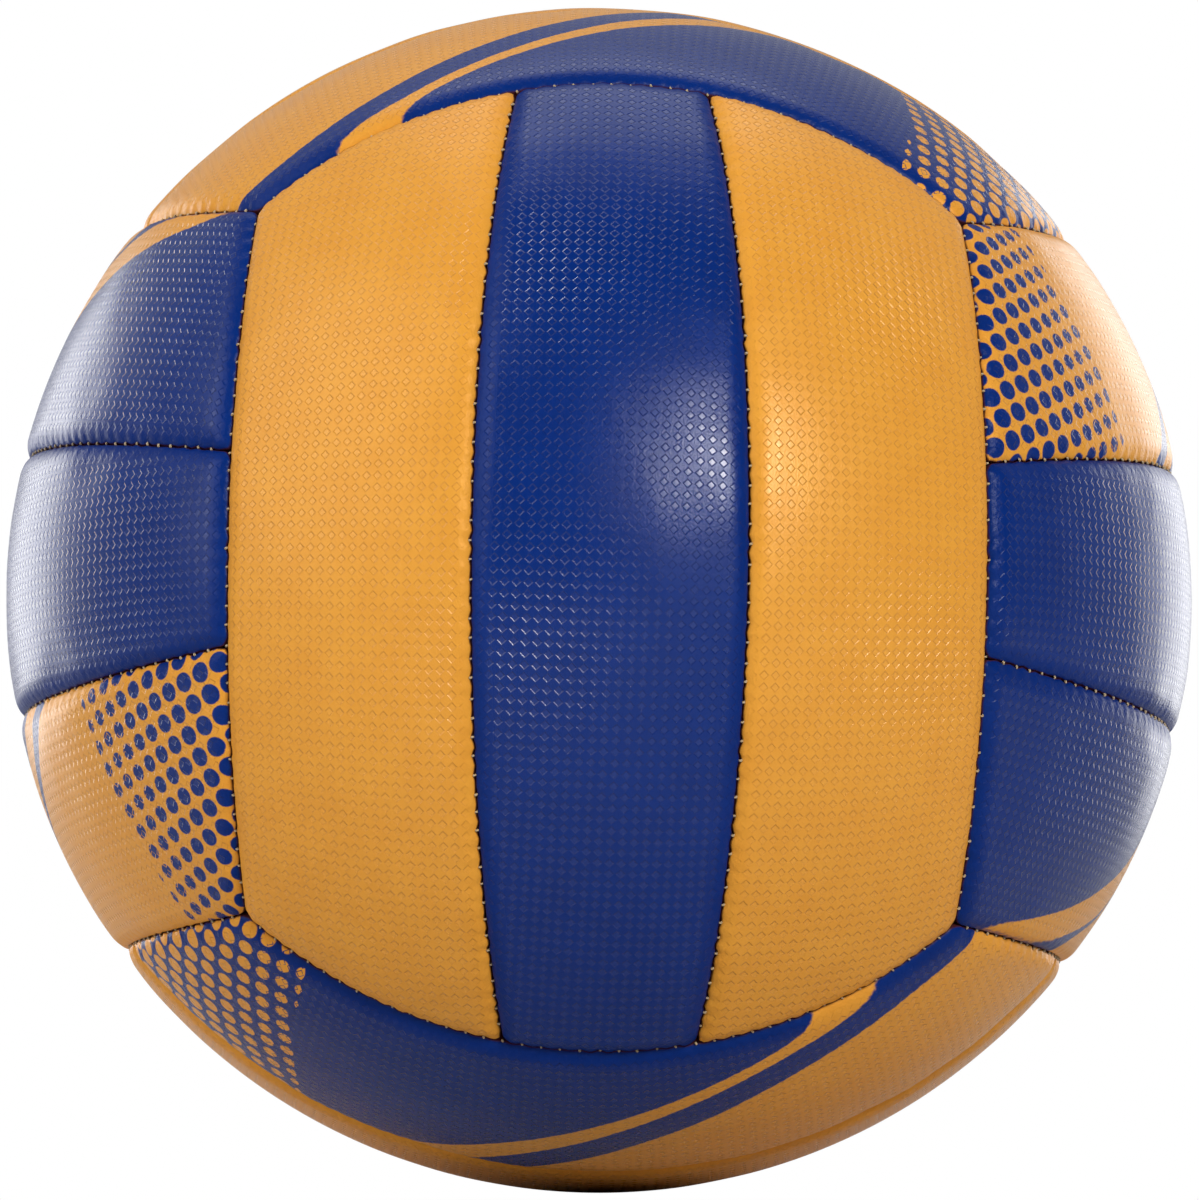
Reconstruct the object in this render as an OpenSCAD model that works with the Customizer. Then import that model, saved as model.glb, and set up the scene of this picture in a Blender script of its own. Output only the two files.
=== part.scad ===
// Size 5 volleyball: eighteen sewn panels in six groups of three, over a rubber bladder with a needle valve.
// Origin at the middle of the ball, +Z up. The front group faces -Y and the valve sits in the back group.

/* [Ball] */
// Outer diameter of the inflated ball
ball_d = 210; // [200:1:220]

/* [Seams] */
// Degrees from the middle of a group of panels to the middle of the seam across its strip ends
end_seam_angle = 52.4; // [50:0.2:54]
// Degrees from the middle of a group to each seam beside its middle strip, halfway along
inner_seam_angle = 12.7; // [11.5:0.1:15]
// Degrees that the plane of such a seam leans, which keeps the middle strip from narrowing to its ends
inner_seam_lean = 9.7; // [8:0.1:10.4]
// Radius of the rolled shoulder along every panel edge
shoulder_r = 2.4; // [1.8:0.1:3.4]
// Gap between the turned-in edges of two panels
seam_gap = 0.2; // [0.1:0.05:0.4]

/* [Panel layers] */
// Thickness of the outer synthetic leather
cover_t = 0.7; // [0.5:0.1:1.1]
// Thickness of the foam bonded under the leather
foam_t = 2.5; // [1.5:0.1:4]
// Thickness of the lining cloth under the foam
lining_t = 0.4; // [0.3:0.1:0.8]
// Glue line between two layers
layer_gap = 0.1; // [0.05:0.05:0.2]

/* [Seam thread] */
// Thickness of the sewing thread in the groove between two shoulders
thread_d = 0.6; // [0.3:0.1:1]
// Clearance between the thread and the shoulders that it lies on
thread_gap = 0.05; // [0.05:0.05:0.2]
// Length of thread left off at each end of a seam, where three panels meet
thread_end = 2.5; // [1.5:0.5:5]

/* [Bladder] */
// Wall of the butyl bladder
bladder_t = 0.7; // [0.5:0.1:1.2]
// Gap between the lining cloth and the bladder
bladder_gap = 0.2; // [0.1:0.1:0.5]
// Diameter of the rubber patch around the valve, inside the bladder
patch_d = 34; // [28:1:44]
// Thickness of that patch
patch_t = 0.8; // [0.5:0.1:1.5]

/* [Valve] */
// Diameter of the inflating needle, and of its channel in the plug
needle_d = 2; // [1.6:0.1:2.4]
// Depth of the open channel, measured from the bottom of its dimple
needle_depth = 12; // [8:0.5:13]
// Diameter of the valve neck that shows in the ball's surface
neck_d = 9; // [8:0.5:11]
// Clearance between the neck and the hole in each layer that it passes through
neck_gap = 0.15; // [0.1:0.05:0.4]
// Depth of the valve face below the ball's surface
valve_recess = 0.5; // [0.3:0.1:1]
// Overall length of the valve housing
valve_len = 20; // [18:0.5:24]
// Diameter of the housing's flange under the patch
flange_d = 22; // [16:1:26]
// Thickness of that flange
flange_t = 1.2; // [0.8:0.1:1.8]
// Diameter of the plug's stem
plug_d = 4.6; // [4:0.1:5]
// Diameter of the plug's head and of the collar that holds it in the housing
collar_d = 6.4; // [5.8:0.1:6.8]
// Thickness of the plug's head and of its collar
collar_t = 1.4; // [1:0.1:2]
// Clearance between the plug and the housing
plug_gap = 0.05; // [0.05:0.05:0.15]
// Depth of the dimple that guides the needle
dimple_depth = 0.6; // [0.3:0.1:1]

/* [Hidden] */
ball_r = ball_d / 2;
foam_out_r = ball_r - cover_t - layer_gap;
foam_in_r = foam_out_r - foam_t;
lining_out_r = foam_in_r - layer_gap;
lining_in_r = lining_out_r - lining_t;
bladder_r = lining_in_r - bladder_gap;
bladder_in_r = bladder_r - bladder_t;
patch_out_r = bladder_in_r - layer_gap;
flange_out_r = patch_out_r - patch_t - layer_gap;
flange_in_r = flange_out_r - flange_t;
neck_r = neck_d / 2;
neck_hole_r = neck_r + neck_gap;
valve_top = ball_r - valve_recess;
valve_foot = valve_top - valve_len;

// Every seam is an arc of a circle, so its plane has an axis through the middle of the ball
corner_share = 1 / sqrt(3);
end_seam_tilt = atan((cos(end_seam_angle) - corner_share) / (sin(end_seam_angle) - corner_share));
end_seam_half = end_seam_angle + end_seam_tilt;
inner_seam_half = 90 - (inner_seam_angle - inner_seam_lean);

// Each shoulder is rolled over in this many facets between the top and the wall of its panel
roll_facets = 3;
roll_r = ball_r - shoulder_r;
roll_lean = asin((shoulder_r + seam_gap / 2) / roll_r);
// Sine of the angle to the seam's axis below which a facet's normal is laid along the axis
flat_share = 0.08;

$fn = 180;
thread_fn = 48;

gold = "#dc9b41";
blue = "#1c3282";
foam_white = "#e6e0cf";
cloth_white = "#f2efe6";
thread_tan = "#c9b184";
butyl_black = "#232324";
plug_amber = "#b98a4e";

// Each group's name and the turn that brings it from the +Z pole, its strips along X, to its own place
GROUPS = [
    ["front", [90, 90, 0]],
    ["back", [90, 90, 180]],
    ["left", [90, 0, 270]],
    ["right", [90, 0, 90]],
    ["top", [0, 0, 0]],
    ["bottom", [180, 0, 0]]
];

// Each panel's name, its group, its lane in the group and its main colour
PANELS = [
    ["front_left", 0, -1, gold],
    ["front_middle", 0, 0, blue],
    ["front_right", 0, 1, gold],
    ["back_left", 1, 1, gold],
    ["back_middle", 1, 0, blue],
    ["back_right", 1, -1, gold],
    ["left_top", 2, 1, blue],
    ["left_middle", 2, 0, blue],
    ["left_bottom", 2, -1, gold],
    ["right_top", 3, 1, gold],
    ["right_middle", 3, 0, blue],
    ["right_bottom", 3, -1, blue],
    ["top_front", 4, -1, blue],
    ["top_middle", 4, 0, gold],
    ["top_back", 4, 1, blue],
    ["bottom_front", 5, 1, blue],
    ["bottom_middle", 5, 0, gold],
    ["bottom_back", 5, -1, blue]
];
valve_panel = 4;
valve_group = 1;

// Turn from +Z to the axis of a seam: across a strip end, beside the middle strip, or beside the group
function end_seam_turn(side) = [0, -side * end_seam_tilt, 0];
function inner_seam_turn(side) = [-side * (90 + inner_seam_lean), 0, 0];
function side_seam_turn(side) = [-side * (90 + end_seam_tilt), 0, 0];

// The turned sphere that makes one facet of a panel's edge: its turn, height on the seam's axis, radius and side.
// Its centre is where the facet's normal, drawn through the middle of the rolled shoulder, meets that axis.
// A wall that is nearly square to the axis is a plane across it, with no radius.
function edge_ball(turn, half_angle, within, facet, depth) =
    let (away = within ? 1 : -1)
    let (roll_polar = half_angle - away * roll_lean)
    let (roll_height = roll_r * cos(roll_polar))
    let (normal_polar = roll_polar + away * (90 + roll_lean) * facet / (roll_facets + 1))
    let (to_axis = roll_r * sin(roll_polar) / sin(normal_polar))
    abs(sin(normal_polar)) < flat_share
        ? [turn, roll_height - away * (shoulder_r - depth), 0, within]
        : [turn, roll_height - to_axis * cos(normal_polar), abs(to_axis + shoulder_r - depth), to_axis > 0];

// The facets of one edge, from its wall up to its top
function edge_balls(turn, half_angle, within, depth, facets) =
    [for (k = [0 : facets]) edge_ball(turn, half_angle, within, roll_facets + 1 - k, depth)];

// All the facets of a strip whose surface lies at a depth below the ball's surface
function strip_balls(lane, depth, facets) =
    let (ends = [for (side = [1, -1]) each
        edge_balls(end_seam_turn(side), end_seam_half, true, depth, facets)])
    let (inner = [for (side = lane == 0 ? [1, -1] : [lane]) each
        edge_balls(inner_seam_turn(side), inner_seam_half, lane != 0, depth, facets)])
    let (outer = lane == 0 ? [] :
        edge_balls(side_seam_turn(lane), end_seam_half, false, depth, facets))
    concat([[[90, 0, 0], 0, ball_r - depth, true]], ends, inner, outer);

// The sphere of one facet, or all that lies beyond its plane
module edge_form(ball) {
    rotate(ball[0])
        translate([0, 0, ball[1]])
        if (ball[2] > 0) rotate([180, 0, 0]) sphere(r = ball[2]);
        else cylinder(r = ball_d, h = ball_d);
}

// Keeps what lies inside, or outside, each sphere of the list in turn
module shaped_by(balls, last) {
    if (last == 0) edge_form(balls[0]);
    else if (balls[last][3]) intersection() {
        shaped_by(balls, last - 1);
        edge_form(balls[last]);
    }
    else difference() {
        shaped_by(balls, last - 1);
        edge_form(balls[last]);
    }
}

// One layer of a strip from a depth below the ball's surface down to in_r, with so many facets on its shoulders
module strip_layer(lane, depth, in_r, facets) {
    balls = strip_balls(lane, depth, facets);
    difference() {
        shaped_by(balls, len(balls) - 1);
        rotate([90, 0, 0]) sphere(r = in_r);
    }
}

// The hole that the valve neck passes through, in the layers of the back middle panel
module neck_hole() {
    cylinder(r = neck_hole_r, h = ball_d);
}

// Synthetic leather strip: a bowed top with rolled shoulders and its four seam allowances turned in
module panel(lane, shade, has_valve) {
    color(shade) difference() {
        strip_layer(lane, 0, lining_in_r, roll_facets);
        strip_layer(lane, cover_t, lining_in_r - cover_t, roll_facets);
        if (has_valve) neck_hole();
    }
}

// Foam pad that fills the panel between its turned-in edges
module foam(lane, has_valve) {
    color(foam_white) difference() {
        strip_layer(lane, cover_t + layer_gap, foam_in_r, roll_facets);
        if (has_valve) neck_hole();
    }
}

// Lining cloth under the foam of a group's three panels
module lining(has_valve) {
    color(cloth_white) for (lane = [-1, 0, 1])
        difference() {
            intersection() {
                strip_layer(lane, cover_t + layer_gap, lining_in_r, 0);
                rotate([90, 0, 0]) sphere(r = lining_out_r);
            }
            if (has_valve && lane == 0) neck_hole();
        }
}

// Radius at which the thread rests on both shoulders of a seam
function thread_seat() =
    let (beside = shoulder_r + seam_gap / 2)
    let (apart = shoulder_r / cos((90 + roll_lean) / (roll_facets + 1) / 2) + thread_d / 2 + thread_gap)
    sqrt(roll_r * roll_r - beside * beside) + sqrt(apart * apart - beside * beside);

// Half of the arc that a seam runs about its axis: to two corners, or to the seams across the strip ends
function end_seam_arc() = asin(corner_share / sin(end_seam_half));
function inner_seam_arc() =
    let (along = cos(end_seam_tilt) * sin(inner_seam_half) * cos(inner_seam_lean))
    let (across = sin(end_seam_tilt) * sin(inner_seam_half))
    let (level = cos(end_seam_half) + cos(end_seam_tilt) * cos(inner_seam_half) * sin(inner_seam_lean))
    acos(level / norm([along, across])) - atan(across / along);

// A thread laid along a seam arc that is centred on the direction given by turn
module thread_arc(half_angle, half_arc, turn) {
    seat_r = thread_seat();
    run = half_arc - thread_end / (seat_r * sin(half_angle)) * 180 / PI;
    rotate(turn - run)
        rotate_extrude(angle = 2 * run)
        translate([seat_r * sin(half_angle), seat_r * cos(half_angle)])
        circle(d = thread_d, $fn = thread_fn);
}

// The threads of one group: two along its middle strip and two across its strip ends
module seam_threads() {
    color(thread_tan) for (side = [1, -1]) {
        rotate(end_seam_turn(side)) thread_arc(end_seam_half, end_seam_arc(), side > 0 ? 0 : 180);
        rotate(inner_seam_turn(side)) thread_arc(inner_seam_half, inner_seam_arc(), side * 90 + 180);
    }
}

// Butyl bladder with the hole that the valve neck was moulded through
module bladder() {
    color(butyl_black) difference() {
        rotate([90, 0, 0]) sphere(r = bladder_r);
        rotate([90, 0, 0]) sphere(r = bladder_in_r);
        cylinder(r = neck_hole_r, h = ball_d);
    }
}

// Round rubber patch that spreads the valve's load over the inside of the bladder
module valve_patch() {
    color(butyl_black) difference() {
        intersection() {
            rotate([90, 0, 0]) sphere(r = patch_out_r);
            cylinder(d = patch_d, h = ball_d);
        }
        rotate([90, 0, 0]) sphere(r = patch_out_r - patch_t);
        cylinder(r = neck_hole_r, h = ball_d);
    }
}

// Housing: a neck that reaches the ball's surface, a flange under the patch and a body inside the bladder
module valve_housing() {
    color(butyl_black) difference() {
        union() {
            translate([0, 0, valve_foot]) cylinder(r = neck_r, h = valve_len);
            difference() {
                intersection() {
                    rotate([90, 0, 0]) sphere(r = flange_out_r);
                    cylinder(d = flange_d, h = ball_d);
                }
                rotate([90, 0, 0]) sphere(r = flange_in_r);
            }
        }
        plug_form(plug_gap);
    }
}

// Outline of the plug: head, stem, and the collar that snaps into a groove of the housing
module plug_form(gap) {
    stem_len = valve_len - collar_t;
    translate([0, 0, valve_top - collar_t - gap]) cylinder(d = collar_d + 2 * gap, h = 2 * collar_t);
    translate([0, 0, valve_foot - (gap > 0 ? collar_t : 0)])
        cylinder(d = plug_d + 2 * gap, h = stem_len + (gap > 0 ? collar_t : 0) + collar_t / 2);
    translate([0, 0, valve_foot + 2 * collar_t - gap]) cylinder(d = collar_d + 2 * gap, h = collar_t + 2 * gap);
}

// Soft plug that seals itself when the needle is drawn out of its channel
module valve_plug() {
    color(plug_amber) difference() {
        intersection() {
            plug_form(0);
            cylinder(d = collar_d, h = valve_top);
        }
        translate([0, 0, valve_top - dimple_depth])
            cylinder(d1 = needle_d, d2 = needle_d + 2 * dimple_depth, h = dimple_depth);
        translate([0, 0, valve_top - dimple_depth - needle_depth])
            cylinder(d = needle_d, h = needle_depth + dimple_depth / 2);
    }
}

for (i = [0 : len(PANELS) - 1]) {
    p = PANELS[i];
    turn = GROUPS[p[1]][1];
    rotate(turn) panel(p[2], p[3], i == valve_panel);
    rotate(turn) foam(p[2], i == valve_panel);
}
for (i = [0 : len(GROUPS) - 1]) {
    g = GROUPS[i];
    rotate(g[1]) lining(i == valve_group);
    rotate(g[1]) seam_threads();
}
valve_turn = GROUPS[valve_group][1];
rotate(valve_turn) bladder();
rotate(valve_turn) valve_patch();
rotate(valve_turn) valve_housing();
rotate(valve_turn) valve_plug();
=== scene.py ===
"""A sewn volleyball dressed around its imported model: embossed covers, stitches, inner layers and valve.

Lengths are millimetres and angles are degrees until a mesh is written, which turns them to metres.
Each group of three strips is worked out at the +Z pole, its strips along X, and then turned to its place.
"""

import logging
import math
from dataclasses import dataclass, field
from enum import Enum

import bpy
import numpy as np
from mathutils import Matrix, Vector


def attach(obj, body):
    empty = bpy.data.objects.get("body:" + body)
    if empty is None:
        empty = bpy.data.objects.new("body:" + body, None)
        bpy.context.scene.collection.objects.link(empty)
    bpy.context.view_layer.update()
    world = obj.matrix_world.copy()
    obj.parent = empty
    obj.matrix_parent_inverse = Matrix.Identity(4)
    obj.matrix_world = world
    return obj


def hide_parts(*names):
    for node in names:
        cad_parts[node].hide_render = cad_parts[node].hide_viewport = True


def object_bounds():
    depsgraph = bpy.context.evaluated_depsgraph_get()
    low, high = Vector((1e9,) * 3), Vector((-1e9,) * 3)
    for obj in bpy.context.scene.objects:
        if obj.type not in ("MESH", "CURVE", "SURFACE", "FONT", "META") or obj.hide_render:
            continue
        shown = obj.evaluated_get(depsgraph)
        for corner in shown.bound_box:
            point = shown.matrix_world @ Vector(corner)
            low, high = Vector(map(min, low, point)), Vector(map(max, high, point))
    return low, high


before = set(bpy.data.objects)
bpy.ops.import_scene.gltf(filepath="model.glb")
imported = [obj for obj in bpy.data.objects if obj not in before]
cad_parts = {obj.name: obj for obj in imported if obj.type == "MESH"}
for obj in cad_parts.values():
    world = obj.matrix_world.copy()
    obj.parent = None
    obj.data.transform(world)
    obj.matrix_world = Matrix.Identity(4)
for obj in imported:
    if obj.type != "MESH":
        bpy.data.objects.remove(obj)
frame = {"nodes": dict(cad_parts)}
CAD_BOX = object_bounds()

MM = 0.001
ROOT = "root"
PHOTO_SIDE_PX = 1200  # the photograph's longer side
WAVE_PERIOD = 0.314  # a Wave Texture at scale 1 repeats after this length
WHITE = (1, 1, 1, 1)
CELL_MIDDLE = (0.5, 0.5, 0.5)
Tree = bpy.types.NodeTree
Socket = bpy.types.NodeSocket
Block = tuple[slice, slice]
log = logging.getLogger("volleyball")


class Group(Enum):
    """A group of three strips: its name, and its turn about X, then Y, then Z from the +Z pole."""

    FRONT = ("front", (90, 90, 0))
    BACK = ("back", (90, 90, 180))
    LEFT = ("left", (90, 0, 270))
    RIGHT = ("right", (90, 0, 90))
    TOP = ("top", (0, 0, 0))
    BOTTOM = ("bottom", (180, 0, 0))

    def turn(self) -> np.ndarray:
        """Works out the group's turn.

        Returns:
            The 3 x 3 matrix that brings the group from the pole to its place.
        """
        matrix = np.eye(3)
        for axis, degrees in zip("XYZ", self.value[1]):
            matrix = np.array(Matrix.Rotation(math.radians(degrees), 3, axis)) @ matrix
        return matrix


class Cover(Enum):
    """What colour a strip's leather has, and which print lies on it."""

    GOLD = "gold"
    BLUE = "blue"
    DOTS_ON_GOLD = "dots_on_gold"
    DOTS_ON_BLUE = "dots_on_blue"


@dataclass(frozen=True)
class Seam:
    """A circle on the ball along which two panels are sewn.

    Args:
        axis: unit vector through the circle's middle.
        half: angle in radians from the axis to the circle.
        middle: unit vector to the point halfway along the seam.
        radius: the ball's radius.
    """

    axis: np.ndarray
    half: float
    middle: np.ndarray
    radius: float

    def away(self, points: np.ndarray) -> np.ndarray:
        """Returns how far, over the ball's surface, unit vectors lie from the seam."""
        return self.radius * np.abs(np.arccos(np.clip(points @ self.axis, -1, 1)) - self.half)

    def along(self, points: np.ndarray) -> np.ndarray:
        """Measures along the seam.

        Args:
            points: unit vectors.

        Returns:
            The length of seam between its middle and the place nearest to each of them.
        """
        ahead, aside = self.axes()
        turn = np.arctan2(points @ aside, points @ ahead)
        return turn * self.radius * math.sin(self.half)

    def axes(self) -> tuple[np.ndarray, np.ndarray]:
        """Works out the seam's own directions.

        Returns:
            The unit vectors, square to the axis, towards the seam's middle and along it.
        """
        ahead = self.middle - (self.middle @ self.axis) * self.axis
        ahead = ahead / np.linalg.norm(ahead)
        return ahead, np.cross(self.axis, ahead)


@dataclass(frozen=True)
class Layout:
    """Where the seams of one group run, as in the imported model."""

    radius: float
    end_seam: float = 52.4
    inner_seam: float = 12.7
    inner_lean: float = 9.7
    level_band: float = 9.0

    @property
    def end_tilt(self) -> float:
        """Leans the seams across strip ends so that they pass two corners.

        Returns:
            The angle by which such a seam's axis leans.
        """
        corner = 1 / math.sqrt(3)
        end = math.radians(self.end_seam)
        return math.degrees(math.atan((math.cos(end) - corner) / (math.sin(end) - corner)))

    @property
    def side_seam(self) -> float:
        """Angle from the group's middle to the seam beside the group."""
        return 90 - self.end_seam

    def lanes(self, lane: int) -> tuple[float, float]:
        """Finds a strip's sides.

        Args:
            lane: the strip's lane, -1, 0 or 1.

        Returns:
            The angles across the group at which it starts and ends.
        """
        if lane == 0:
            return -self.inner_seam, self.inner_seam
        return tuple(sorted((lane * self.inner_seam, lane * self.side_seam)))

    def lean_along(self, angle: np.ndarray) -> np.ndarray:
        """Leans the circles that run across a strip.

        Args:
            angle: angles along the strip.

        Returns:
            How far the circle leans at each.
        """
        free = self.end_seam - math.degrees(self.level_band / self.radius)
        share = np.clip(angle / free, -1, 1)
        return (90 - self.end_tilt) * np.sin(share * math.pi / 2)

    def lean_across(self, angle: np.ndarray, lane: int) -> np.ndarray:
        """Leans the circles that run along a strip.

        Args:
            angle: angles across the group.
            lane: the strip's lane, -1, 0 or 1.

        Returns:
            How far the circle leans at each.
        """
        if lane == 0:
            free = self.inner_seam - math.degrees(self.level_band / self.radius)
            return self.inner_lean * np.sin(np.clip(angle / free, -1, 1) * math.pi / 2)
        share = (np.abs(angle) - self.inner_seam) / (self.side_seam - self.inner_seam)
        return lane * (self.inner_lean + (self.end_tilt - self.inner_lean) * share)

    def place(self, along: np.ndarray, across: np.ndarray, lane: int) -> np.ndarray:
        """Finds where two circles, across and along a strip, meet.

        Args:
            along: angles along the strip from the group's middle.
            across: angles across the group from its middle.
            lane: the strip's lane, -1, 0 or 1.

        Returns:
            Unit vectors.
        """
        lean_x = np.radians(self.lean_along(along))
        lean_y = np.radians(self.lean_across(across, lane))
        level_x = np.sin(np.radians(along) - lean_x)
        level_y = np.sin(np.radians(across) - lean_y)
        tan_x, tan_y = np.tan(lean_x), np.tan(lean_y)
        cut_x, cut_y = level_x / np.cos(lean_x), level_y / np.cos(lean_y)
        a = 1 + tan_x**2 + tan_y**2
        b = cut_x * tan_x + cut_y * tan_y
        c = cut_x**2 + cut_y**2 - 1
        z = (-b + np.sqrt(np.maximum(b * b - a * c, 0))) / a
        return np.stack([cut_x + z * tan_x, cut_y + z * tan_y, z], axis=-1)

    def end(self, side: int) -> Seam:
        """Describes the seam across the strip ends.

        Args:
            side: which side of the group, -1 or 1.

        Returns:
            The seam.
        """
        tilt, at = math.radians(self.end_tilt), math.radians(self.end_seam)
        axis = np.array([-side * math.sin(tilt), 0, math.cos(tilt)])
        middle = np.array([side * math.sin(at), 0, math.cos(at)])
        return Seam(axis, at + tilt, middle, self.radius)

    def long(self, side: int, outer: bool) -> Seam:
        """Describes a seam that runs along strips.

        Args:
            side: which side of the group, -1 or 1.
            outer: whether it lies beside the group, and not beside its middle strip.

        Returns:
            The seam.
        """
        at = math.radians(self.side_seam if outer else self.inner_seam)
        lean = math.radians(self.end_tilt if outer else self.inner_lean)
        axis = np.array([0, side * math.cos(lean), -math.sin(lean)])
        middle = np.array([0, side * math.sin(at), math.cos(at)])
        return Seam(axis, math.pi / 2 - at + lean, middle, self.radius)


@dataclass(frozen=True)
class Ripple:
    """Slow unevenness of the leather, as a sum of waves with seeded directions."""

    shortest: float = 11.0
    longest: float = 34.0
    waves: int = 26
    seed: int = 7

    def at(self, points: np.ndarray) -> np.ndarray:
        """Sums the waves.

        Args:
            points: places, in millimetres.

        Returns:
            A height of about -1 to 1 at each.
        """
        draw = np.random.default_rng(self.seed)
        total = np.zeros(points.shape[:-1])
        for _ in range(self.waves):
            direction = draw.normal(size=3)
            direction = direction / np.linalg.norm(direction)
            length = draw.uniform(self.shortest, self.longest)
            total += np.sin(points @ direction * 2 * math.pi / length + draw.uniform(0, 2 * math.pi))
        return total / math.sqrt(self.waves)


@dataclass(frozen=True)
class StitchPull:
    """How a seam's stitches draw the leather in: once for each stitch, and no two quite alike."""

    pitch: float = 3.3
    wave: float = 0.17
    beats: tuple[float, float] = (17.3, 11.9)

    def held(self, along: np.ndarray) -> np.ndarray:
        """Returns 1 where a stitch holds the leather down and 0 halfway between two stitches."""
        return 0.5 + 0.5 * np.cos(2 * math.pi * along / self.pitch)

    def sway(self, along: np.ndarray) -> np.ndarray:
        """Returns how far the seam bulges aside between its stitches, and back at each stitch."""
        uneven = 0.7 + 0.4 * sum(np.cos(2 * math.pi * along / beat) for beat in self.beats)
        return self.wave * uneven * (1 - 2 * self.held(along))


@dataclass(frozen=True)
class Border:
    """A curved edge of the print: across = offset + slope * along - bend * along squared, up to its top."""

    offset: float
    slope: float
    bend: float

    def past(self, along: np.ndarray, across: np.ndarray) -> np.ndarray:
        """Returns how far places on the strip lie beyond the edge, measured across the strip."""
        run = np.minimum(along, 0.5 * self.slope / self.bend)
        return across - self.offset - self.slope * run + self.bend * run**2


@dataclass(frozen=True)
class PrintLayout:
    """Stripes across a printed strip, and dots that shrink away from one of its ends."""

    borders: tuple[Border, Border, Border]
    curl_from: float = 17.0
    curl: float = 0.08
    dots_start: float = 88.0
    dots_run: float = 34.2
    dots_slant: float = 0.14

    def values(self, along: np.ndarray, across: np.ndarray, lane: int) -> np.ndarray:
        """Works out what the print does at places on a strip.

        Args:
            along: lengths along the strip.
            across: lengths across it.
            lane: the strip's lane, -1 or 1.

        Returns:
            For each place, how far it is past each of three borders, and how far through the dots.
        """
        u, o = lane * along, lane * across
        curled = o - self.curl * np.maximum(o - self.curl_from, 0) ** 2
        past = [border.past(u, curled) for border in self.borders]
        through = (u + self.dots_start) / (self.dots_run - self.dots_slant * o)
        return np.stack(past + [through], axis=-1)


PRINTS = {
    Cover.DOTS_ON_GOLD: PrintLayout(
        (Border(4.5, 0.66, 0.005), Border(2.5, 0.74, 0.0078), Border(-8.2, 0.728, 0.0045))
    ),
    Cover.DOTS_ON_BLUE: PrintLayout(
        (Border(1.5, 0.593, 0.0033), Border(-3.2, 0.702, 0.005), Border(-11.1, 0.733, 0.0047))
    ),
}


class MeshDraft:
    """Collects points with their surface values, and the faces between them."""

    def __init__(self) -> None:
        """Starts an empty draft."""
        self.points: list[np.ndarray] = []
        self.values: list[np.ndarray] = []
        self.faces: list[np.ndarray] = []
        self.count = 0

    def add(self, points: np.ndarray, values: np.ndarray | None = None) -> np.ndarray:
        """Adds points of any array shape.

        Args:
            points: places, in millimetres.
            values: what the material reads at each place, if anything.

        Returns:
            The points' indices, in the same shape.
        """
        size = int(np.prod(points.shape[:-1]))
        self.points.append(points.reshape(-1, 3))
        if values is not None:
            self.values.append(values.reshape(size, -1))
        indices = np.arange(self.count, self.count + size).reshape(points.shape[:-1])
        self.count += size
        return indices

    def quads(self, a: np.ndarray, b: np.ndarray, c: np.ndarray, d: np.ndarray) -> None:
        """Adds a face for each place of four index arrays."""
        self.faces.append(np.stack([a.ravel(), b.ravel(), c.ravel(), d.ravel()], axis=-1))

    def grid(self, indices: np.ndarray, skip: Block | None = None) -> None:
        """Fills a rectangle of indices with faces.

        Args:
            indices: the points' indices, row by row.
            skip: a block of cells that stays open.
        """
        keep = np.ones((indices.shape[0] - 1, indices.shape[1] - 1), bool)
        if skip is not None:
            keep[skip] = False
        corners = (indices[:-1, :-1], indices[1:, :-1], indices[1:, 1:], indices[:-1, 1:])
        self.quads(*(corner[keep] for corner in corners))

    def band(self, first: np.ndarray, second: np.ndarray) -> None:
        """Joins two closed loops of as many points each."""
        self.quads(first, np.roll(first, -1), np.roll(second, -1), second)

    def taper(self, fine: np.ndarray, coarse: np.ndarray) -> None:
        """Joins a closed loop to one that has a quarter as many points.

        Args:
            fine: the loop with more points.
            coarse: the loop with fewer.
        """
        ring = fine.reshape(-1, 4)
        following = np.roll(fine, -4).reshape(-1, 4)[:, 0]
        after = np.roll(coarse, -1)
        self.quads(ring[:, 0], ring[:, 1], ring[:, 2], coarse)
        self.quads(ring[:, 2], ring[:, 3], following, after)
        self.faces.append(np.stack([ring[:, 2], after, coarse], axis=-1))

    def build(self, name: str, turn: np.ndarray, attributes: dict[str, slice]) -> bpy.types.Object:
        """Writes the draft as an object, smooth and facing outwards.

        Args:
            name: the object's name.
            turn: the matrix that brings the points to their place.
            attributes: the name of each vertex attribute and the three values that it holds.

        Returns:
            The new object, linked to the scene.
        """
        points = np.concatenate(self.points) @ turn.T * MM
        faces = [face for block in self.faces for face in block.tolist()]
        if self._volume(points) < 0:
            faces = [face[::-1] for face in faces]
        mesh = bpy.data.meshes.new(name)
        mesh.from_pydata(points.tolist(), [], faces)
        mesh.polygons.foreach_set("use_smooth", np.ones(len(faces), bool))
        values = np.concatenate(self.values) if self.values else None
        for key, part in attributes.items():
            layer = mesh.attributes.new(key, "FLOAT_VECTOR", "POINT")
            layer.data.foreach_set("vector", values[:, part].astype(np.float32).ravel())
        mesh.update()
        mesh.validate()
        piece = bpy.data.objects.new(name, mesh)
        bpy.context.scene.collection.objects.link(piece)
        return piece

    def _volume(self, points: np.ndarray) -> float:
        """Measures what the faces hold.

        Args:
            points: all points of the draft.

        Returns:
            Six times the volume inside the faces, negative if they face inwards.
        """
        total = 0.0
        for block in self.faces:
            for k in range(1, block.shape[1] - 1):
                a, b, c = points[block[:, 0]], points[block[:, k]], points[block[:, k + 1]]
                total += float(np.sum(a * np.cross(b, c)))
        return total


def rim_of(indices: np.ndarray) -> np.ndarray:
    """Returns the closed loop of indices round the edge of a rectangle of them."""
    return np.concatenate([indices[0, :-1], indices[:-1, -1], indices[-1, :0:-1], indices[:0:-1, 0]])


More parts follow.
